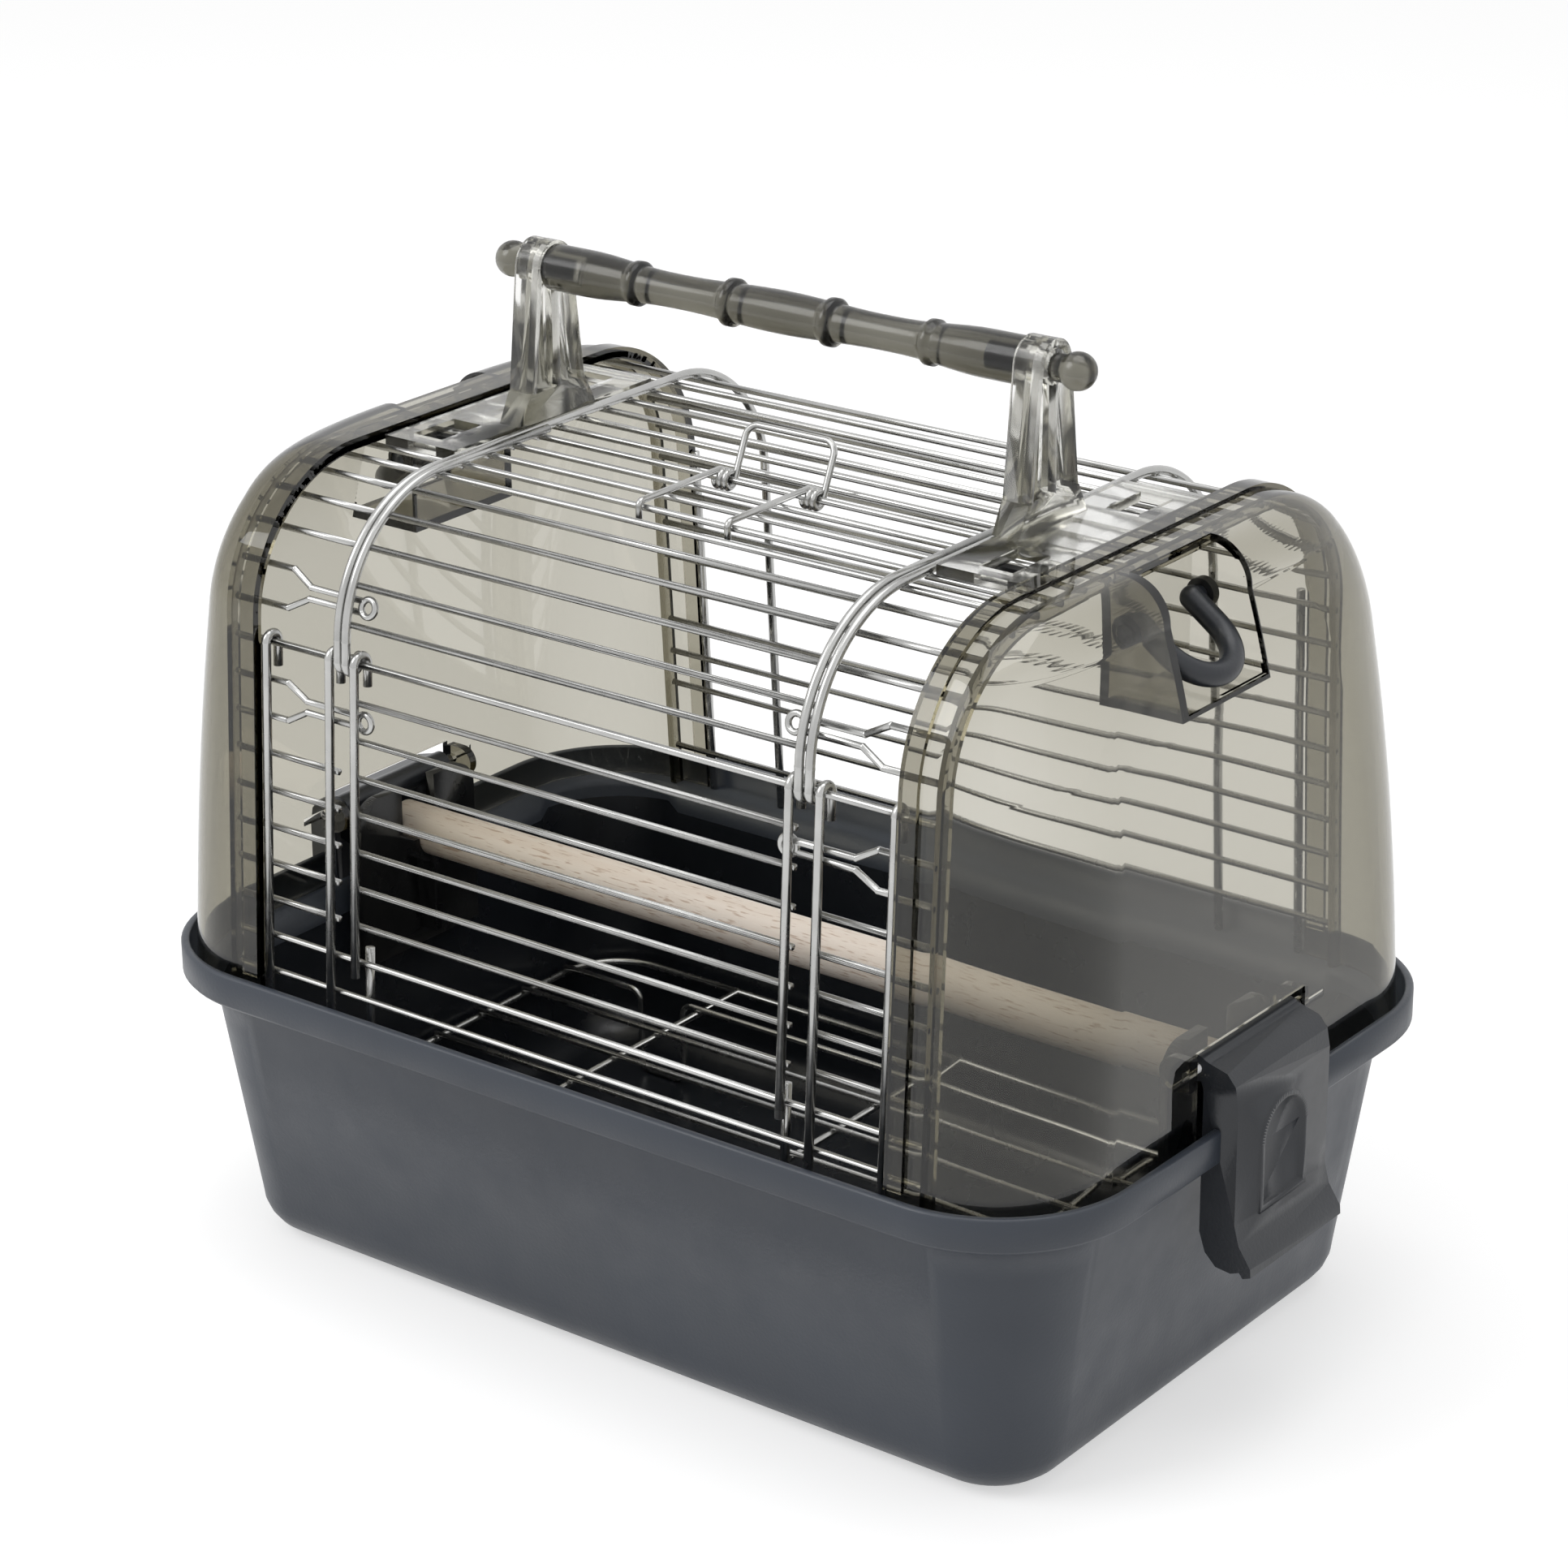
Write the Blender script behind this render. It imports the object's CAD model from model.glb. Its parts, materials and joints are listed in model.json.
"""Looks of a small bird travel carrier: smoked end shells and handle, plated wire cage, slate tub.

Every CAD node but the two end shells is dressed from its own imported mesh, so it lies exactly where
the frame has it. The end shells are drawn again, smooth, on their nodes' own outline.
"""

from __future__ import annotations

import json
import logging
import math
from dataclasses import dataclass, field
from enum import Enum
from typing import Iterable, NamedTuple

import bmesh
import bpy
from mathutils import Matrix, Vector

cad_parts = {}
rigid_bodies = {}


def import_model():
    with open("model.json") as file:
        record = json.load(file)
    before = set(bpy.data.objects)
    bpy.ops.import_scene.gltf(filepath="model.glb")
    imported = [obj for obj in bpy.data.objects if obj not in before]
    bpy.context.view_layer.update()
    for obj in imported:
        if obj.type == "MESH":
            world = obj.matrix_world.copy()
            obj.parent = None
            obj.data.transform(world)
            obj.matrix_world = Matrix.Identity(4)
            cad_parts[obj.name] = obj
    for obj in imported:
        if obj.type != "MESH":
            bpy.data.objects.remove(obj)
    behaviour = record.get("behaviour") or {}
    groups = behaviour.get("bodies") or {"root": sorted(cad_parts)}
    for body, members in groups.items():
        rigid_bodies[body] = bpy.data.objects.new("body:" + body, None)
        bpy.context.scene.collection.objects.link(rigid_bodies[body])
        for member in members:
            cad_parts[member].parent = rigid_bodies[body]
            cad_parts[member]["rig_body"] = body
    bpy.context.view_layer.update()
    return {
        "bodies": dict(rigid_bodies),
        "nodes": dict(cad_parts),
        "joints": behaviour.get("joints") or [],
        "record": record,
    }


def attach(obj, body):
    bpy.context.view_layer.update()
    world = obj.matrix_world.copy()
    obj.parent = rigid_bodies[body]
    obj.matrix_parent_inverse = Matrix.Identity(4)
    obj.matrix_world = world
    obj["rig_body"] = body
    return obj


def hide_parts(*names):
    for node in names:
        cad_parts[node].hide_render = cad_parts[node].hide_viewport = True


LOG = logging.getLogger("carrier")
MM = 0.001
QUARTER = math.pi / 2
# Angle in degrees above which an edge stays sharp
CREASE = 32.0
Colour = tuple[float, float, float]
Pair = tuple[float, float]
Point = tuple[float, float, float]
Socket = bpy.types.NodeSocket


class Slot(Enum):
    """The record's material slots, by the name that each has there."""

    SLATE = "slate_plastic"
    SMOKE_SHELL = "smoke_shell"
    SMOKE_HANDLE = "smoke_handle"
    BLACK = "black_plastic"
    BAIL = "bail_plastic"
    PLATED = "plated_wire"
    PIN = "steel_pin"
    BEECH = "beech"


class Boolean(Enum):
    """How one solid works on another."""

    ADD = "UNION"
    CUT = "DIFFERENCE"


def shown(name: str, data: bpy.types.ID) -> bpy.types.Object:
    """Puts a new object into the scene.

    Args:
        name: its name.
        data: its mesh, lamp or camera.

    Returns:
        The object.
    """
    thing = bpy.data.objects.new(name, data)
    bpy.context.scene.collection.objects.link(thing)
    return thing


def both(name: str) -> tuple[str, str]:
    """Returns the names of the left and the right node of a kind."""
    return f"left_{name}", f"right_{name}"


# ---- node trees


class Shading:
    """A material with a few helpers that add and join shader nodes."""

    # Most noise lies between these
    NOISE_LOW = 0.3
    NOISE_HIGH = 0.7

    def __init__(self, name: str) -> None:
        """Starts an empty material.

        Args:
            name: the material's name.
        """
        self.material = bpy.data.materials.new(name)
        self.material.use_nodes = True
        self.tree = self.material.node_tree
        self.tree.nodes.clear()
        self.output = self.tree.nodes.new("ShaderNodeOutputMaterial")

    def add(self, kind: str, **values: object) -> bpy.types.Node:
        """Adds a node and sets its properties.

        Args:
            kind: the node's type name.
            **values: properties of the node, such as operation.

        Returns:
            The new node.
        """
        node = self.tree.nodes.new(kind)
        for key, value in values.items():
            setattr(node, key, value)
        return node

    def join(self, source: Socket, target: Socket) -> None:
        """Links source to target."""
        self.tree.links.new(source, target)

    def noise(self, scale: float, detail: float, stretch: Point = (1, 1, 1)) -> Socket:
        """Noise on Object coordinates, in metres.

        Args:
            scale: repeats per metre.
            detail: octaves of finer noise.
            stretch: factors of the coordinates along X, Y and Z.

        Returns:
            The noise value.
        """
        node = self.add("ShaderNodeTexNoise")
        node.inputs["Scale"].default_value = scale
        node.inputs["Detail"].default_value = detail
        where = self.add("ShaderNodeTexCoord")
        spread = self.add("ShaderNodeMapping")
        spread.inputs["Scale"].default_value = stretch
        self.join(where.outputs["Object"], spread.inputs["Vector"])
        self.join(spread.outputs["Vector"], node.inputs["Vector"])
        return node.outputs["Fac"]

    def span(self, value: Socket, low: float, high: float) -> Socket:
        """Maps the usual range of noise to low..high.

        Args:
            value: the noise.
            low: result at the low end.
            high: result at the high end.

        Returns:
            The mapped value.
        """
        node = self.add("ShaderNodeMapRange")
        node.inputs["From Min"].default_value = self.NOISE_LOW
        node.inputs["From Max"].default_value = self.NOISE_HIGH
        node.inputs["To Min"].default_value = low
        node.inputs["To Max"].default_value = high
        self.join(value, node.inputs["Value"])
        return node.outputs["Result"]

    def ramp(self, value: Socket, stops: Iterable[tuple[float, Colour]]) -> Socket:
        """Turns a value to a colour.

        Args:
            value: where on the ramp.
            stops: places and their colours, in order.

        Returns:
            The colour.
        """
        node = self.add("ShaderNodeValToRGB")
        rows = list(stops)
        while len(node.color_ramp.elements) < len(rows):
            node.color_ramp.elements.new(0.5)
        for element, (place, colour) in zip(node.color_ramp.elements, rows):
            element.position = place
            element.color = (*colour, 1)
        self.join(value, node.inputs["Fac"])
        return node.outputs["Color"]

    def bump(self, height: Socket, depth: float, strength: float = 1.0) -> Socket:
        """A bump from a height value.

        Args:
            height: height, 0 to 1.
            depth: real depth of 1, in metres.
            strength: share of the bump that is used.

        Returns:
            The bent normal.
        """
        node = self.add("ShaderNodeBump")
        node.inputs["Distance"].default_value = depth
        node.inputs["Strength"].default_value = strength
        self.join(height, node.inputs["Height"])
        return node.outputs["Normal"]

    def principled(self, colour: Colour, roughness: float) -> bpy.types.Node:
        """The main shader, joined to the output.

        Args:
            colour: base colour.
            roughness: 0 for a mirror, 1 for chalk.

        Returns:
            The shader node.
        """
        node = self.add("ShaderNodeBsdfPrincipled")
        node.inputs["Base Color"].default_value = (*colour, 1)
        node.inputs["Roughness"].default_value = roughness
        self.join(node.outputs["BSDF"], self.output.inputs["Surface"])
        return node


# ---- finishes


@dataclass(frozen=True)
class MouldedPlastic:
    """Opaque moulded plastic with some cloudiness and a faint moulded skin.

    Scales are repeats per metre, and depths are metres.
    """

    name: str
    colour: Colour
    roughness: float
    cloud: float = 0.1
    cloud_scale: float = 14
    wear: Pair = (-0.05, 0.06)
    wear_scale: float = 60
    skin_scale: float = 900
    skin_depth: float = 0.00006

    def material(self) -> bpy.types.Material:
        """Returns the finished material."""
        made = Shading(self.name)
        shader = made.principled(self.colour, self.roughness)
        dark = tuple(part * (1 - self.cloud) for part in self.colour)
        light = tuple(min(1.0, part * (1 + self.cloud)) for part in self.colour)
        stops = [(made.NOISE_LOW, dark), (made.NOISE_HIGH, light)]
        cloudy = made.ramp(made.noise(self.cloud_scale, detail=3), stops)
        made.join(cloudy, shader.inputs["Base Color"])
        glossier, duller = (self.roughness + part for part in self.wear)
        worn = made.noise(self.wear_scale, detail=4)
        made.join(made.span(worn, glossier, duller), shader.inputs["Roughness"])
        skin = made.noise(self.skin_scale, detail=2)
        made.join(made.bump(skin, self.skin_depth), shader.inputs["Normal"])
        return made.material


@dataclass(frozen=True)
class SmokedClear:
    """Smoked see-through plastic, darker where the light passes more of it.

    The loss is how strongly the body absorbs red, green and blue, per metre.
    """

    name: str
    loss: Colour
    roughness: float
    bending: float = 1.49
    ripple: float = 0.00004
    ripple_scale: float = 24
    lamp_light: float = 0.96

    def material(self) -> bpy.types.Material:
        """Returns the finished material, clear with a faint ripple, whose body takes the light."""
        made = Shading(self.name)
        shader = made.principled((1.0, 1.0, 1.0), self.roughness)
        shader.inputs["IOR"].default_value = self.bending
        shader.inputs["Transmission Weight"].default_value = 1.0
        flow = made.noise(self.ripple_scale, detail=1)
        made.join(made.bump(flow, self.ripple), shader.inputs["Normal"])
        open_to_lamps = made.add("ShaderNodeBsdfTransparent")
        open_to_lamps.inputs["Color"].default_value = (*(self.lamp_light,) * 3, 1)
        path = made.add("ShaderNodeLightPath")
        mix = made.add("ShaderNodeMixShader")
        made.join(path.outputs["Is Shadow Ray"], mix.inputs[0])
        made.join(shader.outputs["BSDF"], mix.inputs[1])
        made.join(open_to_lamps.outputs["BSDF"], mix.inputs[2])
        made.join(mix.outputs["Shader"], made.output.inputs["Surface"])
        body = made.add("ShaderNodeVolumeAbsorption")
        most = max(self.loss)
        body.inputs["Density"].default_value = most
        body.inputs["Color"].default_value = (*(1 - part / most for part in self.loss), 1)
        made.join(body.outputs["Volume"], made.output.inputs["Volume"])
        return made.material


@dataclass(frozen=True)
class PlatedMetal:
    """Bright plated or polished steel with small duller patches and a fine grain."""

    name: str
    colour: Colour
    roughness: float
    dulled: float = 0.86
    patch_scale: float = 90
    patch_stops: Pair = (0.35, 0.65)
    wear: Pair = (-0.05, 0.07)
    wear_scale: float = 160
    grain_scale: float = 900
    grain_depth: float = 0.00001
    grain_strength: float = 0.4

    def material(self) -> bpy.types.Material:
        """Returns the finished material."""
        made = Shading(self.name)
        shader = made.principled(self.colour, self.roughness)
        shader.inputs["Metallic"].default_value = 1.0
        dull = tuple(part * self.dulled for part in self.colour)
        stops = zip(self.patch_stops, (dull, self.colour))
        patches = made.ramp(made.noise(self.patch_scale, detail=3), stops)
        made.join(patches, shader.inputs["Base Color"])
        glossier, duller = (self.roughness + part for part in self.wear)
        worn = made.noise(self.wear_scale, detail=2)
        made.join(made.span(worn, glossier, duller), shader.inputs["Roughness"])
        grain = made.noise(self.grain_scale, detail=1)
        bent = made.bump(grain, self.grain_depth, self.grain_strength)
        made.join(bent, shader.inputs["Normal"])
        return made.material


@dataclass(frozen=True)
class BeechWood:
    """Pale steamed beech, with grain along X and the wood's short dark flecks.

    Each stretch is the repeats per metre along X, Y and Z.
    """

    name: str
    pale: Colour
    deep: Colour
    fleck: Colour
    roughness: Pair = (0.48, 0.68)
    band_stretch: Point = (7, 150, 150)
    band_stops: Pair = (0.32, 0.62)
    fleck_stretch: Point = (160, 1500, 1500)
    fleck_stops: Pair = (0.58, 0.68)
    pore_stretch: Point = (220, 2400, 2400)
    pore_depth: float = 0.0001
    pore_strength: float = 0.7

    def material(self) -> bpy.types.Material:
        """Returns the finished material."""
        made = Shading(self.name)
        shader = made.principled(self.pale, roughness=0.55)
        stops = zip(self.band_stops, (self.deep, self.pale))
        bands = made.ramp(made.noise(1, 4, self.band_stretch), stops)
        flecks = made.noise(1, 2, self.fleck_stretch)
        share = made.add("ShaderNodeMapRange")
        share.inputs["From Min"].default_value = self.fleck_stops[0]
        share.inputs["From Max"].default_value = self.fleck_stops[1]
        made.join(flecks, share.inputs["Value"])
        mix = made.add("ShaderNodeMix", data_type="RGBA")
        first, second = (port for port in mix.inputs if port.type == "RGBA")
        made.join(share.outputs["Result"], mix.inputs["Factor"])
        made.join(bands, first)
        second.default_value = (*self.fleck, 1)
        mixed = next(port for port in mix.outputs if port.type == "RGBA")
        made.join(mixed, shader.inputs["Base Color"])
        pores = made.noise(1, 3, self.pore_stretch)
        made.join(made.span(pores, *self.roughness), shader.inputs["Roughness"])
        bent = made.bump(pores, self.pore_depth, self.pore_strength)
        made.join(bent, shader.inputs["Normal"])
        return made.material


@dataclass
class Finishes:
    """Every finish of the carrier, made once: one for each slot, and three shades beside them."""

    made: dict[Slot, bpy.types.Material] = field(default_factory=dict)
    tub_inside: bpy.types.Material = field(init=False)
    grip: bpy.types.Material = field(init=False)
    buckle: bpy.types.Material = field(init=False)

    def __post_init__(self) -> None:
        """Makes the materials."""
        inside = MouldedPlastic("tub inside", (0.011, 0.013, 0.017), 0.24, skin_depth=0.00001)
        self.tub_inside = inside.material()
        self.grip = SmokedClear("smoked grip", (168, 172, 192), 0.2).material()
        self.buckle = MouldedPlastic("buckle plastic", (0.025, 0.028, 0.034), 0.36).material()
        pale, deep, fleck = (0.9, 0.81, 0.72), (0.82, 0.71, 0.61), (0.6, 0.46, 0.36)
        recipes = {
            Slot.SLATE: MouldedPlastic("slate plastic", (0.037, 0.045, 0.06), 0.4),
            Slot.SMOKE_SHELL: SmokedClear("smoked shell", (310, 325, 385), 0.02),
            Slot.SMOKE_HANDLE: SmokedClear("smoked handle", (32, 33, 40), 0.14),
            Slot.BLACK: MouldedPlastic("black plastic", (0.012, 0.0125, 0.013), 0.3),
            Slot.BAIL: MouldedPlastic("bail plastic", (0.018, 0.021, 0.027), 0.38),
            Slot.PLATED: PlatedMetal("plated wire", (0.5, 0.5, 0.49), 0.24),
            Slot.PIN: PlatedMetal("steel pin", (0.5, 0.5, 0.5), 0.3),
            Slot.BEECH: BeechWood("beech", pale, deep, fleck),
        }
        for slot, recipe in recipes.items():
            self.made[slot] = recipe.material()

    def of(self, slot: Slot) -> bpy.types.Material:
        """Returns the material of a slot."""
        return self.made[slot]


# ---- dressed CAD pieces


@dataclass
class Dresser:
    """Makes the shown piece of a CAD node: its own mesh, joined up and smoothly shaded."""

    frame: dict
    finishes: Finishes
    weld_distance: float = 0.004 * MM

    def body_of(self, node: str) -> str:
        """Returns the name of the body that a node rides on."""
        return str(self.frame["nodes"][node]["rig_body"])

    def stand_in(self, node: str, mesh: bpy.types.Mesh, slot: Slot, crease: float) -> bpy.types.Object:
        """Joins a mesh up, shades it smoothly and shows it in a CAD node's place.

        Args:
            node: the CAD node's name.
            mesh: the mesh that takes its place.
            slot: the slot whose finish it takes.
            crease: angle in degrees above which an edge stays sharp.

        Returns:
            The new piece.
        """
        mesh.name = f"{node}_skin"
        mesh.materials.clear()
        mesh.materials.append(self.finishes.of(slot))
        work = bmesh.new()
        work.from_mesh(mesh)
        bmesh.ops.remove_doubles(work, verts=work.verts, dist=self.weld_distance)
        for face in work.faces:
            face.smooth = True
            face.material_index = 0
        work.to_mesh(mesh)
        work.free()
        mesh.set_sharp_from_angle(angle=math.radians(crease))
        piece = shown(f"{node}_skin", mesh)
        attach(piece, self.body_of(node))
        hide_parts(node)
        LOG.info("%s: %d faces", piece.name, len(mesh.polygons))
        return piece

    def dress(self, node: str, slot: Slot, crease: float = CREASE) -> bpy.types.Object:
        """Replaces a CAD node by a smoothly shaded copy of its own mesh."""
        return self.stand_in(node, self.frame["nodes"][node].data.copy(), slot, crease)


@dataclass
class SubAssembly:
    """Some nodes of the carrier that are dressed alike."""

    dresser: Dresser
    nodes: dict[str, Slot] = field(default_factory=dict)
    crease: float = CREASE

    def build(self) -> None:
        """Dresses every node of the sub-assembly."""
        for node, slot in self.nodes.items():
            self.dresser.dress(node, slot, self.crease)

    def repaint(self, nodes: Iterable[str], finish: bpy.types.Material) -> None:
        """Gives dressed nodes another finish in place of their slot's."""
        for node in nodes:
            bpy.data.objects[f"{node}_skin"].data.materials[0] = finish


@dataclass
class Tub(SubAssembly):
    """The deep slate tub, glossier and darker inside, with its brackets, perch and floor grate.

    The cavity's bounds are metres.
    """

    nodes: dict[str, Slot] = field(
        default_factory=lambda: {
            **dict.fromkeys(both("perch_bracket"), Slot.BLACK),
            "perch": Slot.BEECH,
            "floor_grate": Slot.PLATED,
        }
    )
    inside_x: float = 0.1615
    inside_y: float = 0.106
    inside_foot: float = 0.002
    inside_top: float = 0.0845
    looks_up: float = 0.6

    def is_inside(self, face: bpy.types.MeshPolygon) -> bool:
        """Whether a face belongs to the tub's cavity.

        Args:
            face: a face of the tub's mesh.

        Returns:
            True if it lies in the cavity and looks into it.
        """
        at, out = face.center, face.normal
        within = abs(at.x) < self.inside_x and abs(at.y) < self.inside_y
        if not (within and self.inside_foot < at.z < self.inside_top):
            return False
        return out.z > self.looks_up or at.x * out.x + at.y * out.y < 0

    def build(self) -> None:
        """Dresses the tub, paints its cavity with the inner finish, then dresses what it holds."""
        tub = self.dresser.dress("base_tub", Slot.SLATE)
        tub.data.materials.append(self.dresser.finishes.tub_inside)
        for face in tub.data.polygons:
            if self.is_inside(face):
                face.material_index = 1
        super().build()


# ---- smooth end shells


@dataclass(frozen=True)
class CoverOutline:
    """The cover's cross section: leaning sides, two arch corners and a flat roof, in millimetres."""

    arch_y: float = 57.2
    spring_z: float = 209.0
    lean: float = math.radians(3.4)
    side_steps: int = 12
    arch_steps: int = 40
    roof_steps: int = 8

    def turn_z(self, radius: float) -> float:
        """Height at which a side turns into its arch corner of the given radius."""
        return self.spring_z + radius * math.sin(self.lean)

    def half(self, z: float, radius: float) -> float:
        """Half the depth at a height.

        Args:
            z: the height.
            radius: arch radius of the outline.

        Returns:
            The half depth.
        """
        turn_z = self.turn_z(radius)
        if z < turn_z:
            return self.arch_y + radius * math.cos(self.lean) + (turn_z - z) * math.tan(self.lean)
        return self.arch_y + math.sqrt(max(0.0, radius**2 - (z - self.spring_z) ** 2))

    def path(self, radius: float, foot_z: float) -> list[Pair]:
        """The outline from the front foot over the roof to the back foot.

        Args:
            radius: arch radius of the outline.
            foot_z: height of both feet.

        Returns:
            Points (y, z) in order.
        """
        rise = self.turn_z(radius) - foot_z
        side = [foot_z + rise * i / self.side_steps for i in range(self.side_steps)]
        front = [(-self.half(z, radius), z) for z in side]
        for i in range(self.arch_steps + 1):
            angle = self.lean + (QUARTER - self.lean) * i / self.arch_steps
            y = -self.arch_y - radius * math.cos(angle)
            front.append((y, self.spring_z + radius * math.sin(angle)))
        across = [2 * self.arch_y * i / self.roof_steps for i in range(1, self.roof_steps)]
        roof = [(-self.arch_y + step, self.spring_z + radius) for step in across]
        return front + roof + [(-y, z) for y, z in reversed(front)]


class Solid:
    """A closed mesh in millimetres under construction, which others can be joined to or cut from."""

    ROUND_SIDES = 48
    MERGE = 0.001
    SLIVER = 0.01

    def __init__(self, name: str, points: list[Point], faces: list[tuple[int, ...]]) -> None:
        """Makes the mesh, merges its doubles and turns its faces outwards.

        Args:
            name: name of the scratch object.
            points: corners.
            faces: corner numbers of each face.
        """
        mesh = bpy.data.meshes.new(name)
        mesh.from_pydata(points, [], faces)
        work = bmesh.new()
        work.from_mesh(mesh)
        bmesh.ops.remove_doubles(work, verts=work.verts, dist=self.MERGE)
        bmesh.ops.recalc_face_normals(work, faces=work.faces)
        work.to_mesh(mesh)
        work.free()
        self.thing = shown(name, mesh)

    @classmethod
    def prism(cls, name: str, outline: list[Pair], y0: float, y1: float) -> Solid:
        """An outline in X and Z, drawn out along Y.

        Args:
            name: name of the scratch object.
            outline: points (x, z) in order.
            y0: start.
            y1: end.

        Returns:
            The solid.
        """
        count = len(outline)
        points = [(x, y, z) for y in (y0, y1) for x, z in outline]
        sides = [(i, (i + 1) % count, count + (i + 1) % count, count + i) for i in range(count)]
        return cls(name, points, [tuple(range(count)), tuple(range(count, 2 * count)), *sides])

    @classmethod
    def block(cls, name: str, low: Point, high: Point) -> Solid:
        """A box between two corners."""
        (x0, y0, z0), (x1, y1, z1) = low, high
        return cls.prism(name, [(x0, z0), (x1, z0), (x1, z1), (x0, z1)], y0, y1)

    @classmethod
    def disc(cls, name: str, centre: Pair, radius: float, y0: float, y1: float) -> Solid:
        """A round bar along Y.

        Args:
            name: name of the scratch object.
            centre: its middle (x, z).
            radius: its radius.
            y0: start.
            y1: end.

        Returns:
            The solid.
        """
        turn = 2 * math.pi / cls.ROUND_SIDES
        angles = [i * turn for i in range(cls.ROUND_SIDES)]
        x, z = centre
        outline = [(x + radius * math.cos(a), z + radius * math.sin(a)) for a in angles]
        return cls.prism(name, outline, y0, y1)

    def combine(self, other: Solid, how: Boolean) -> None:
        """Joins this solid with another or cuts it by it. The other one is used up.

        Args:
            other: the second solid.
            how: whether it is added or cut away.
        """
        modifier = self.thing.modifiers.new("combine", "BOOLEAN")
        modifier.operation = how.value
        modifier.solver = "EXACT"
        modifier.object = other.thing
        graph = bpy.context.evaluated_depsgraph_get()
        mesh = bpy.data.meshes.new_from_object(self.thing.evaluated_get(graph))
        self.thing.modifiers.clear()
        self.thing.data = mesh
        bpy.data.objects.remove(other.thing)

    def finish(self) -> bpy.types.Mesh:
        """Returns the mesh in metres, without the slivers of its cuts, and removes the scratch object."""
        mesh = self.thing.data
        mesh.transform(Matrix.Scale(MM, 4))
        work = bmesh.new()
        work.from_mesh(mesh)
        bmesh.ops.remove_doubles(work, verts=work.verts, dist=self.SLIVER * MM)
        bmesh.ops.dissolve_degenerate(work, edges=work.edges, dist=self.SLIVER * MM)
        work.to_mesh(mesh)
        work.free()
        bpy.data.objects.remove(self.thing)
        return mesh


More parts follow.
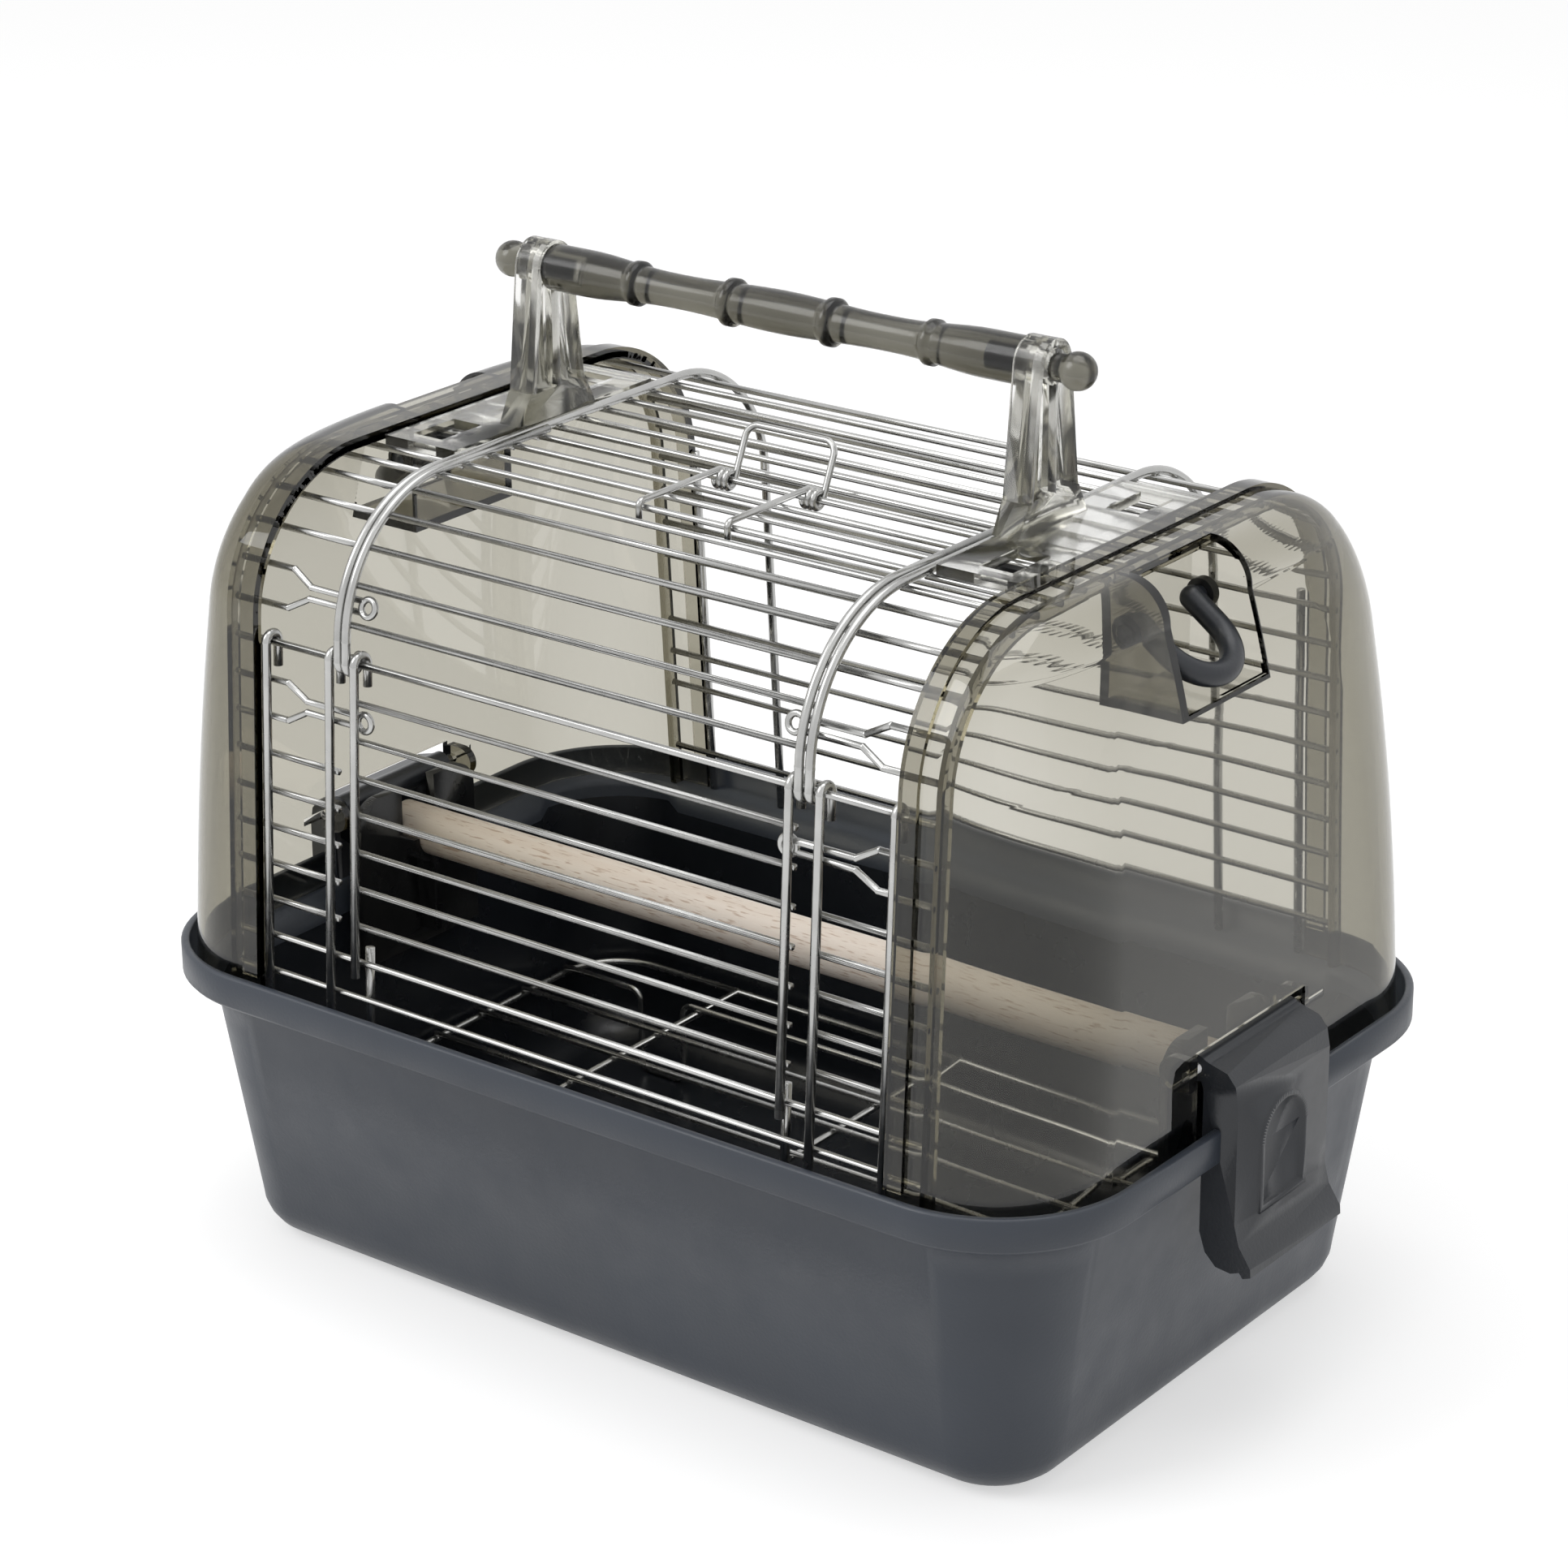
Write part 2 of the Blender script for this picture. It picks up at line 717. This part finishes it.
@dataclass
class EndShells(SubAssembly):
    """The two smoked end shells, drawn smooth on their CAD nodes' own outline, with their bushes.

    Sizes are millimetres, and places are those of the right shell, which the left one mirrors.
    """

    nodes: dict[str, Slot] = field(
        default_factory=lambda: dict.fromkeys(both("bail_bushes"), Slot.BLACK)
    )
    outline: CoverOutline = CoverOutline()
    # The wall
    arch_r: float = 45.1
    wall: float = 2.0
    edge_x: float = 116.0
    corner_x: float = 128.0
    corner_r: float = 38.0
    corner_growth: float = 0.065
    corner_from_z: float = 91.2
    foot_z: float = 91.25
    reach: float = 164.0
    roof_round: float = 13.0
    # The end wall leans in by bow times the height above bow_z to the power bow_power
    bow_z: float = 91.0
    bow: float = 0.000039
    bow_power: float = 2.6
    # Steps of the wall's mesh
    side_steps: int = 16
    arch_steps: int = 40
    round_steps: int = 24
    corner_steps: int = 24
    flat_steps: int = 4
    least_step: float = 0.03
    # Rib on the front edge, and the seat that the wires' ends butt against
    rib_radii: Pair = (46.5, 43.2)
    rib_x: Pair = (116, 122)
    rib_foot_z: float = 100.1
    seat_radii: Pair = (44.1, 39.4)
    seat_x: Pair = (126.5, 128.9)
    # Window for the buckle, with an ear on each side for its pin
    window_y: float = 28.5
    window_x: Pair = (150, 200)
    window_z: Pair = (80, 122.3)
    ear_wall: float = 3.0
    ear_r: float = 5.0
    ear_at: Pair = (157, 116)
    ear_reach: float = 163.7
    pin_at: Pair = (161, 116)
    pin_room: float = 1.62
    pin_half: float = 40.0
    # Pocket of the strap bail
    pocket_x: float = 126.8
    pocket_y: float = 20.5
    pocket_z: float = 217.0
    pocket_back_z: float = 248.8
    pocket_reach: float = 151.6
    pocket_wall: float = 2.0
    pocket_overlap: float = 0.01
    roof_slot_x: float = 132.5
    slot_reach: float = 180.0
    roof_slot_z: float = 280.0
    end_slot_z: float = 248.2
    bail_at: Pair = (131.5, 237)
    bail_room: float = 2.55
    bail_half: float = 30.0
    cheek_edge: tuple[Pair, ...] = (
        (151.8, 215), (151.2, 220.5), (149.4, 227.5), (147.2, 235.5), (145.2, 242), (141.8, 249.4),
        (136.6, 252.8),
    )
    # Angle in degrees above which an edge of the shells stays sharp
    shell_crease: float = 24.0

    def wall_reach(self, z: float) -> float:
        """How far the end wall stands out at a height, below the roof's rounding."""
        return self.reach - self.bow * max(0.0, z - self.bow_z) ** self.bow_power

    def round_z(self) -> float:
        """Height at which the roof's rounding begins."""
        return self.outline.spring_z + self.arch_r - self.roof_round

    def end_reach(self, z: float) -> float:
        """How far the shell stands out.

        Args:
            z: the height.

        Returns:
            The distance x from the carrier's middle.
        """
        round_z = self.round_z()
        if z < round_z:
            return self.wall_reach(z)
        drop = math.sqrt(max(0.0, self.roof_round**2 - (z - round_z) ** 2))
        return self.wall_reach(round_z) - self.roof_round + drop

    def levels(self) -> list[float]:
        """Returns the heights of the rings that the wall is drawn through."""
        lean, spring = self.outline.lean, self.outline.spring_z
        rise = self.outline.turn_z(self.arch_r) - self.foot_z
        rows = [self.foot_z + rise * i / self.side_steps for i in range(self.side_steps)]
        for i in range(self.arch_steps + 1):
            angle = lean + (QUARTER - lean) * i / self.arch_steps
            rows.append(spring + self.arch_r * math.sin(angle))
        for i in range(self.round_steps + 1):
            angle = QUARTER * i / self.round_steps
            rows.append(self.round_z() + self.roof_round * math.sin(angle))
        kept: list[float] = []
        for z in sorted(rows):
            if not kept or z - kept[-1] > self.least_step:
                kept.append(z)
        kept[-1] = spring + self.arch_r
        return kept

    def ring(self, z: float, inset: float) -> list[Point]:
        """One level of the wall from its front edge round the end to its back edge.

        Args:
            z: height of the level on the outside.
            inset: distance inside the outer face.

        Returns:
            The ring's points.
        """
        half = self.outline.half(z, self.arch_r) - inset
        rx = self.end_reach(z) - inset - self.corner_x
        ry = self.corner_r + self.corner_growth * (z - self.corner_from_z) - inset
        height = z - inset * max(0.0, z - self.outline.spring_z) / self.arch_r
        run, flat = self.corner_x - self.edge_x, self.flat_steps
        points = [(self.edge_x + run * i / flat, -half) for i in range(flat)]
        for i in range(self.corner_steps + 1):
            angle = QUARTER * i / self.corner_steps
            x = self.corner_x + rx * math.sin(angle)
            points.append((x, -(half - ry) - ry * math.cos(angle)))
        end_x = points[-1][0]
        points += [(end_x, -(half - ry) * (1 - i / flat)) for i in range(1, flat)]
        mirrored = [(x, -y) for x, y in reversed(points)]
        return [(x, y, height) for x, y in points + [(end_x, 0.0)] + mirrored]

    def shell_wall(self) -> Solid:
        """Returns the wall: outer and inner face, roof and edges."""
        rows = self.levels()
        count = len(self.ring(rows[0], 0))
        points: list[Point] = []
        for inset in (0.0, self.wall):
            for z in rows:
                points += self.ring(z, inset)
        inner = len(rows) * count
        last = len(rows) - 1
        faces: list[tuple[int, ...]] = []
        for start in (0, inner):
            for row in range(last):
                low, high = start + row * count, start + (row + 1) * count
                faces += [(low + i, low + i + 1, high + i + 1, high + i) for i in range(count - 1)]
            near, far = start + last * count, start + last * count + count - 1
            faces += [(near + i, near + i + 1, far - i - 1, far - i) for i in range(count // 2)]
        faces += [(i, i + 1, inner + i + 1, inner + i) for i in range(count - 1)]
        for edge in (0, count - 1):
            for row in range(last):
                low = row * count + edge
                faces.append((low, low + count, inner + low + count, inner + low))
        near, far = last * count, last * count + count - 1
        faces.append((near, far, inner + far, inner + near))
        return Solid("shell wall", points, faces)

    def hoop(self, name: str, radii: Pair, span: Pair, foot_z: float) -> Solid:
        """A flat band that follows the cover's outline.

        Args:
            name: name of the scratch object.
            radii: outer and inner arch radius.
            span: start and end along X.
            foot_z: height of its feet.

        Returns:
            The band.
        """
        outer, inner = (self.outline.path(radius, foot_z) for radius in radii)
        x0, x1 = span
        points = []
        for (y0, z0), (y1, z1) in zip(outer, inner):
            points += [(x0, y0, z0), (x1, y0, z0), (x1, y1, z1), (x0, y1, z1)]
        last = len(outer) - 1
        faces: list[tuple[int, ...]] = [(0, 1, 2, 3), tuple(4 * last + k for k in range(4))]
        for i in range(last):
            low, high = 4 * i, 4 * i + 4
            for k in range(4):
                after = (k + 1) % 4
                faces.append((low + k, low + after, high + after, high + k))
        return Solid(name, points, faces)

    def ear(self, side: int) -> Solid:
        """One ear beside the window, for the buckle's pin.

        Args:
            side: -1 for the front one, 1 for the back one.

        Returns:
            The ear.
        """
        y0, y1 = sorted((side * self.window_y, side * (self.window_y + self.ear_wall)))
        x, z = self.ear_at
        ear = Solid.disc("ear", self.ear_at, self.ear_r, y0, y1)
        low, high = (x, y0, z - self.ear_r), (self.ear_reach, y1, z + self.ear_r)
        ear.combine(Solid.block("lug", low, high), Boolean.ADD)
        return ear

    def cheek(self, side: int) -> Solid:
        """One side wall of the strap bail's pocket.

        Args:
            side: -1 for the front one, 1 for the back one.

        Returns:
            The wall.
        """
        y0, y1 = sorted((side * self.pocket_y, side * (self.pocket_y + self.pocket_wall)))
        back = self.pocket_x - self.pocket_wall
        top_z = self.cheek_edge[-1][1]
        steps = [(self.pocket_x, top_z), (self.pocket_x, self.pocket_back_z), (back, self.pocket_back_z)]
        outline = [(back, self.pocket_z - self.pocket_wall), *self.cheek_edge, *steps]
        return Solid.prism("cheek", outline, y0, y1)

    def cut_openings(self, shell: Solid) -> None:
        """Cuts the buckle's window and the pocket's slots in the roof and the end wall.

        Args:
            shell: the right shell.
        """
        (x0, x1), (z0, z1) = self.window_x, self.window_z
        window = Solid.block("window", (x0, -self.window_y, z0), (x1, self.window_y, z1))
        shell.combine(window, Boolean.CUT)
        for name, x, top in (
            ("roof slot", self.roof_slot_x, self.roof_slot_z),
            ("end slot", self.pocket_x, self.end_slot_z),
        ):
            low, high = (x, -self.pocket_y, self.pocket_z), (self.slot_reach, self.pocket_y, top)
            shell.combine(Solid.block(name, low, high), Boolean.CUT)

    def add_pocket(self, shell: Solid) -> None:
        """Adds the pocket's back wall and floor.

        Args:
            shell: the right shell.
        """
        back, foot_z = self.pocket_x - self.pocket_wall, self.pocket_z - self.pocket_wall
        half = self.pocket_y + self.pocket_overlap
        for name, reach, top in (
            ("pocket back", self.pocket_x, self.pocket_back_z),
            ("pocket floor", self.pocket_reach, self.pocket_z),
        ):
            shell.combine(Solid.block(name, (back, -half, foot_z), (reach, half, top)), Boolean.ADD)

    def right_mesh(self) -> bpy.types.Mesh:
        """Returns the right shell with its rib, seat, window, ears, pocket and pin rooms."""
        shell = self.shell_wall()
        shell.combine(self.hoop("rib", self.rib_radii, self.rib_x, self.rib_foot_z), Boolean.ADD)
        shell.combine(self.hoop("seat", self.seat_radii, self.seat_x, self.foot_z), Boolean.ADD)
        self.cut_openings(shell)
        for side in (-1, 1):
            shell.combine(self.ear(side), Boolean.ADD)
            shell.combine(self.cheek(side), Boolean.ADD)
        self.add_pocket(shell)
        for name, at, room, half in (
            ("buckle pin room", self.pin_at, self.pin_room, self.pin_half),
            ("bail pin room", self.bail_at, self.bail_room, self.bail_half),
        ):
            shell.combine(Solid.disc(name, at, room, -half, half), Boolean.CUT)
        return shell.finish()

    def build(self) -> None:
        """Dresses the bushes and builds both shells."""
        super().build()
        right = self.right_mesh()
        left = right.copy()
        left.transform(Matrix.Scale(-1, 4, (1, 0, 0)))
        left.flip_normals()
        for node, mesh in zip(both("end_shell"), (left, right)):
            self.dresser.stand_in(node, mesh, Slot.SMOKE_SHELL, self.shell_crease)


@dataclass
class WireCage(SubAssembly):
    """The fixed wires, the springs, both doors and the roof latch."""

    nodes: dict[str, Slot] = field(
        default_factory=lambda: dict.fromkeys(
            (
                "hinge_wire", *both("hoop"), "back_grille", "rear_corner_wires", "roof_grille",
                *both("front_corner_wires"), *both("front_strip"), "front_sill_wires",
                "left_upper_spring", "left_lower_spring", "right_upper_spring", "right_lower_spring",
                "upper_door", "lower_door", "door_latch",
            ),
            Slot.PLATED,
        )
    )
    crease: float = 50.0


@dataclass
class CarryHandle(SubAssembly):
    """The turned grip with its posts and knobs, and the dark feet that hold the roof wires."""

    nodes: dict[str, Slot] = field(
        default_factory=lambda: {
            **dict.fromkeys(both("handle_post"), Slot.SMOKE_HANDLE),
            "handle_grip": Slot.SMOKE_HANDLE,
            **dict.fromkeys(both("handle_knob"), Slot.SMOKE_HANDLE),
            **dict.fromkeys(both("handle_clips"), Slot.BLACK),
        }
    )

    def build(self) -> None:
        """Dresses the handle and gives its turned pieces a cloudier, darker body."""
        super().build()
        self.repaint(("handle_grip", *both("handle_knob")), self.dresser.finishes.grip)


@dataclass
class EndFittings(SubAssembly):
    """The buckles that hold the cover down, their pins, and the strap bails."""

    nodes: dict[str, Slot] = field(
        default_factory=lambda: {
            **dict.fromkeys(both("buckle"), Slot.SLATE),
            **dict.fromkeys(both("buckle_pin"), Slot.PIN),
            **dict.fromkeys(both("strap_bail"), Slot.BAIL),
        }
    )

    def build(self) -> None:
        """Dresses the fittings and gives the buckles their own darker shade of the tub's plastic."""
        super().build()
        self.repaint(both("buckle"), self.dresser.finishes.buckle)


# ---- weld beads


class BeadTree(NamedTuple):
    """A node tree that sets out beads, with the identifiers of its two inputs."""

    tree: bpy.types.NodeTree
    radius_key: str
    finish_key: str


@dataclass
class WeldBeads:
    """Small beads where the cross wires are welded to the thick wires, set out by a node tree.

    Sizes are millimetres. The cross wires are counted along the outline from the hinge.
    """

    dresser: Dresser
    outline: CoverOutline = CoverOutline()
    bead_radius: float = 0.95
    segments: int = 8
    rings: int = 5
    # The arc on which the cross wires lie
    cross_r: float = 41.2
    rise: float = 6.8
    hinge: Pair = (-98.581, 204.646)
    corner_wires: int = 11
    roof_wires: int = 11
    pitch: float = 11.48
    roof_pitch: float = 11.14
    # The wires that carry beads, where the thick wires cross them
    hoop_wires: range = range(3, 32)
    hoop_x: float = 85.0
    rear_wires: range = range(22, 32)
    strip_wires: range = range(3, 8)
    strip_x: float = 88.7
    shell_x: float = 113.6
    upper_wires: range = range(1, 11)
    upper_x: float = 81.7
    lower_wires: range = range(1, 8)
    lower_x: float = 78.6
    # How far outside the cross wires' middle the beads lie
    hoop_lift: float = 0.95
    strip_lift: float = 1.1
    upper_lift: float = 1.35
    lower_lift: float = 1.55
    # The floor grate
    grate_x: Point = (-89.0, 0.0, 89.0)
    grate_rows: range = range(-2, 3)
    grate_pitch: float = 22.0
    grate_z: float = 31.05

    def station(self, j: int) -> float:
        """Distance of cross wire j along the outline from the hinge."""
        on_roof = min(max(j - self.corner_wires, 0), self.roof_wires)
        return (j - on_roof) * self.pitch + on_roof * self.roof_pitch

    def on_arch(self, s: float, lift: float) -> Pair:
        """Place on the outline.

        Args:
            s: distance from the hinge along the cross wires' own arc.
            lift: distance outside that arc.

        Returns:
            The place (y, z).
        """
        lean, radius = self.outline.lean, self.cross_r + lift
        arch_y, spring = self.outline.arch_y, self.outline.spring_z
        arc = self.cross_r * (QUARTER - lean)
        roof_s = self.rise + arc
        rear_s = roof_s + 2 * arch_y
        if s < self.rise or s >= rear_s + arc:
            run = self.rise - s if s < self.rise else s - rear_s - arc
            side = -1 if s < self.rise else 1
            y = arch_y + radius * math.cos(lean) + run * math.sin(lean)
            return side * y, spring + radius * math.sin(lean) - run * math.cos(lean)
        if s < roof_s:
            angle = lean + (s - self.rise) / self.cross_r
            return -arch_y - radius * math.cos(angle), spring + radius * math.sin(angle)
        if s < rear_s:
            return s - roof_s - arch_y, spring + radius
        angle = (s - rear_s) / self.cross_r
        return arch_y + radius * math.sin(angle), spring + radius * math.cos(angle)

    def on_front(self, lift: float, down: float) -> Pair:
        """Place on the sloping front.

        Args:
            lift: distance outside the slope through the hinge.
            down: distance down the slope from the hinge.

        Returns:
            The place (y, z).
        """
        lean = self.outline.lean
        y = self.hinge[0] - lift * math.cos(lean) - down * math.sin(lean)
        return y, self.hinge[1] + lift * math.sin(lean) - down * math.cos(lean)

    def places(self) -> dict[str, list[Point]]:
        """Returns the bead places of each body, in metres."""
        cover: list[Point] = []
        upper_door: list[Point] = []
        lower_door: list[Point] = []
        for side in (-1, 1):
            for x, wires in ((self.hoop_x, self.hoop_wires), (self.shell_x, self.rear_wires)):
                cover += [(side * x, *self.on_arch(self.station(j), self.hoop_lift)) for j in wires]
            for k in self.strip_wires:
                at = self.on_front(self.strip_lift, k * self.pitch)
                cover += [(side * x, *at) for x in (self.strip_x, self.shell_x)]
            for j in self.upper_wires:
                at = self.on_arch(self.station(j), self.upper_lift)
                upper_door.append((side * self.upper_x, *at))
            for k in self.lower_wires:
                at = self.on_front(self.lower_lift, k * self.pitch)
                lower_door.append((side * self.lower_x, *at))
        found = {
            "cover": cover,
            "upper_door": upper_door,
            "lower_door": lower_door,
            "floor_grate": [
                (x, self.grate_pitch * row, self.grate_z) for x in self.grate_x for row in self.grate_rows
            ],
        }
        return {body: [tuple(part * MM for part in at) for at in rows] for body, rows in found.items()}

    def make_tree(self) -> BeadTree:
        """Returns the node tree that puts a bead on every vertex."""
        tree = bpy.data.node_groups.new("weld beads", "GeometryNodeTree")
        face = tree.interface
        face.new_socket("Geometry", in_out="INPUT", socket_type="NodeSocketGeometry")
        radius = face.new_socket("Bead radius", in_out="INPUT", socket_type="NodeSocketFloat")
        radius.default_value = self.bead_radius * MM
        finish = face.new_socket("Finish", in_out="INPUT", socket_type="NodeSocketMaterial")
        face.new_socket("Geometry", in_out="OUTPUT", socket_type="NodeSocketGeometry")
        start = tree.nodes.new("NodeGroupInput")
        bead = tree.nodes.new("GeometryNodeMeshUVSphere")
        bead.inputs["Segments"].default_value = self.segments
        bead.inputs["Rings"].default_value = self.rings
        smooth = tree.nodes.new("GeometryNodeSetShadeSmooth")
        spread = tree.nodes.new("GeometryNodeInstanceOnPoints")
        real = tree.nodes.new("GeometryNodeRealizeInstances")
        coat = tree.nodes.new("GeometryNodeSetMaterial")
        end = tree.nodes.new("NodeGroupOutput")
        links = tree.links
        links.new(start.outputs["Bead radius"], bead.inputs["Radius"])
        links.new(bead.outputs["Mesh"], smooth.inputs["Geometry"])
        links.new(smooth.outputs["Geometry"], spread.inputs["Instance"])
        links.new(start.outputs["Geometry"], spread.inputs["Points"])
        links.new(spread.outputs["Instances"], real.inputs["Geometry"])
        links.new(real.outputs["Geometry"], coat.inputs["Geometry"])
        links.new(start.outputs["Finish"], coat.inputs["Material"])
        links.new(coat.outputs["Geometry"], end.inputs["Geometry"])
        return BeadTree(tree, radius.identifier, finish.identifier)

    def build(self) -> None:
        """Sets out the beads of every body and makes each set a plain mesh."""
        beads = self.make_tree()
        for body, rows in self.places().items():
            seeds = bpy.data.meshes.new(f"{body}_weld_seeds")
            seeds.from_pydata(rows, [], [])
            holder = shown(f"{body}_weld_seeds", seeds)
            modifier = holder.modifiers.new("beads", "NODES")
            modifier.node_group = beads.tree
            modifier[beads.radius_key] = self.bead_radius * MM
            modifier[beads.finish_key] = self.dresser.finishes.of(Slot.PLATED)
            graph = bpy.context.evaluated_depsgraph_get()
            mesh = bpy.data.meshes.new_from_object(holder.evaluated_get(graph))
            bpy.data.objects.remove(holder)
            piece = shown(f"{body}_weld_beads", mesh)
            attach(piece, body)
            LOG.info("%s: %d beads", piece.name, len(rows))


# ---- studio


@dataclass(frozen=True)
class SoftLamp:
    """A square soft lamp, with its place and side in metres and its power in watts."""

    name: str
    at: Point
    size: float
    power: float

    def hang(self, aim: Point) -> None:
        """Hangs the lamp so that it looks at a point.

        Args:
            aim: the point, in metres.
        """
        data = bpy.data.lights.new(self.name, "AREA")
        data.shape = "SQUARE"
        data.size = self.size
        data.energy = self.power
        lamp = shown(self.name, data)
        lamp.location = self.at
        gaze = Vector(aim) - Vector(self.at)
        lamp.rotation_euler = gaze.to_track_quat("-Z", "Y").to_euler()


@dataclass
class Studio:
    """Pale floor, soft lamps and an even surround, in metres."""

    floor_half: float = 4.0
    surround: float = 0.55
    floor_glow: float = 0.55
    floor_colour: Colour = (0.62, 0.62, 0.62)
    carrier_middle: Point = (0, 0, 0.12)
    lamps: tuple[SoftLamp, ...] = (
        SoftLamp("key", (-0.9, -1.3, 1.5), 1.1, 14),
        SoftLamp("top", (0.1, 0.1, 1.9), 1.4, 12),
        SoftLamp("fill", (1.6, -0.2, 0.8), 1.2, 0.9),
    )

    def seen_rays(self, tree: bpy.types.NodeTree) -> Socket:
        """Adds nodes that give 1 for camera, mirror and clear rays.

        Args:
            tree: the tree to add them to.

        Returns:
            The value.
        """
        path = tree.nodes.new("ShaderNodeLightPath")
        total = path.outputs["Is Camera Ray"]
        for name in ("Is Glossy Ray", "Is Transmission Ray"):
            most = tree.nodes.new("ShaderNodeMath")
            most.operation = "MAXIMUM"
            tree.links.new(total, most.inputs[0])
            tree.links.new(path.outputs[name], most.inputs[1])
            total = most.outputs[0]
        return total

    def build_world(self) -> None:
        """An even grey light for the object, shown white to the camera."""
        world = bpy.data.worlds.new("surround")
        bpy.context.scene.world = world
        world.use_nodes = True
        tree = world.node_tree
        tree.nodes.clear()
        output = tree.nodes.new("ShaderNodeOutputWorld")
        lit = tree.nodes.new("ShaderNodeBackground")
        lit.inputs["Strength"].default_value = self.surround
        seen = tree.nodes.new("ShaderNodeBackground")
        seen.inputs["Strength"].default_value = 1.0
        for node in (lit, seen):
            node.inputs["Color"].default_value = (1, 1, 1, 1)
        mix = tree.nodes.new("ShaderNodeMixShader")
        tree.links.new(self.seen_rays(tree), mix.inputs[0])
        tree.links.new(lit.outputs[0], mix.inputs[1])
        tree.links.new(seen.outputs[0], mix.inputs[2])
        tree.links.new(mix.outputs[0], output.inputs["Surface"])

    def build_floor(self) -> None:
        """A wide plane that keeps the carrier's shadow."""
        half = self.floor_half
        mesh = bpy.data.meshes.new("floor")
        corners = [(-half, -half, 0), (half, -half, 0), (half, half, 0), (-half, half, 0)]
        mesh.from_pydata(corners, [], [(0, 1, 2, 3)])
        floor = shown("floor", mesh)
        made = Shading("studio floor")
        matt = made.add("ShaderNodeBsdfDiffuse")
        matt.inputs["Color"].default_value = (*self.floor_colour, 1)
        glow = made.add("ShaderNodeEmission")
        scaled = made.add("ShaderNodeMath", operation="MULTIPLY")
        scaled.inputs[1].default_value = self.floor_glow
        made.join(self.seen_rays(made.tree), scaled.inputs[0])
        made.join(scaled.outputs[0], glow.inputs["Strength"])
        both = made.add("ShaderNodeAddShader")
        made.join(matt.outputs[0], both.inputs[0])
        made.join(glow.outputs[0], both.inputs[1])
        made.join(both.outputs[0], made.output.inputs["Surface"])
        mesh.materials.append(made.material)

    def build(self) -> None:
        """Builds the surround, the floor and the lamps."""
        self.build_world()
        self.build_floor()
        for lamp in self.lamps:
            lamp.hang(self.carrier_middle)


@dataclass
class CameraRig:
    """The photograph's view, found by least squares from points on the carrier.

    Angles are degrees, and the camera's place is millimetres along its own right, up and back.
    """

    azimuth: float = 37.53
    elevation: float = 21.84
    roll: float = -0.48
    focal_px: float = 5377.4
    frame_px: float = 1932.0
    sensor: float = 36.0
    along: Point = (-2.05, 143.47, 1360.52)
    nearest: float = 50.0

    def build(self) -> None:
        """Makes the camera and gives it to the scene."""
        az, el, roll = (math.radians(part) for part in (self.azimuth, self.elevation, self.roll))
        right = Vector((math.cos(az), math.sin(az), 0))
        back = Vector((math.sin(az) * math.cos(el), -math.cos(az) * math.cos(el), math.sin(el)))
        up = back.cross(right)
        turned_right = right * math.cos(roll) + up * math.sin(roll)
        turned_up = up * math.cos(roll) - right * math.sin(roll)
        place = turned_right * self.along[0] + turned_up * self.along[1] + back * self.along[2]
        data = bpy.data.cameras.new("camera")
        data.sensor_width = self.sensor
        data.lens = self.focal_px / self.frame_px * self.sensor
        data.clip_start = self.nearest * MM
        camera = shown("camera", data)
        turn = Matrix((turned_right, turned_up, back)).transposed().to_4x4()
        camera.matrix_world = Matrix.Translation(place * MM) @ turn
        bpy.context.scene.camera = camera


# ---- main


def main() -> None:
    """Loads the frame and builds every sub-assembly in order."""
    logging.basicConfig(level=logging.INFO, format="%(name)s: %(message)s")
    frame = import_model()
    bpy.context.scene.view_settings.view_transform = "Standard"
    CameraRig().build()
    Studio().build()
    dresser = Dresser(frame, Finishes())
    for part in (Tub, WireCage, EndShells, CarryHandle, EndFittings):
        LOG.info("building %s", part.__name__)
        part(dresser).build()
    WeldBeads(dresser).build()


if __name__ == "__main__":
    main()
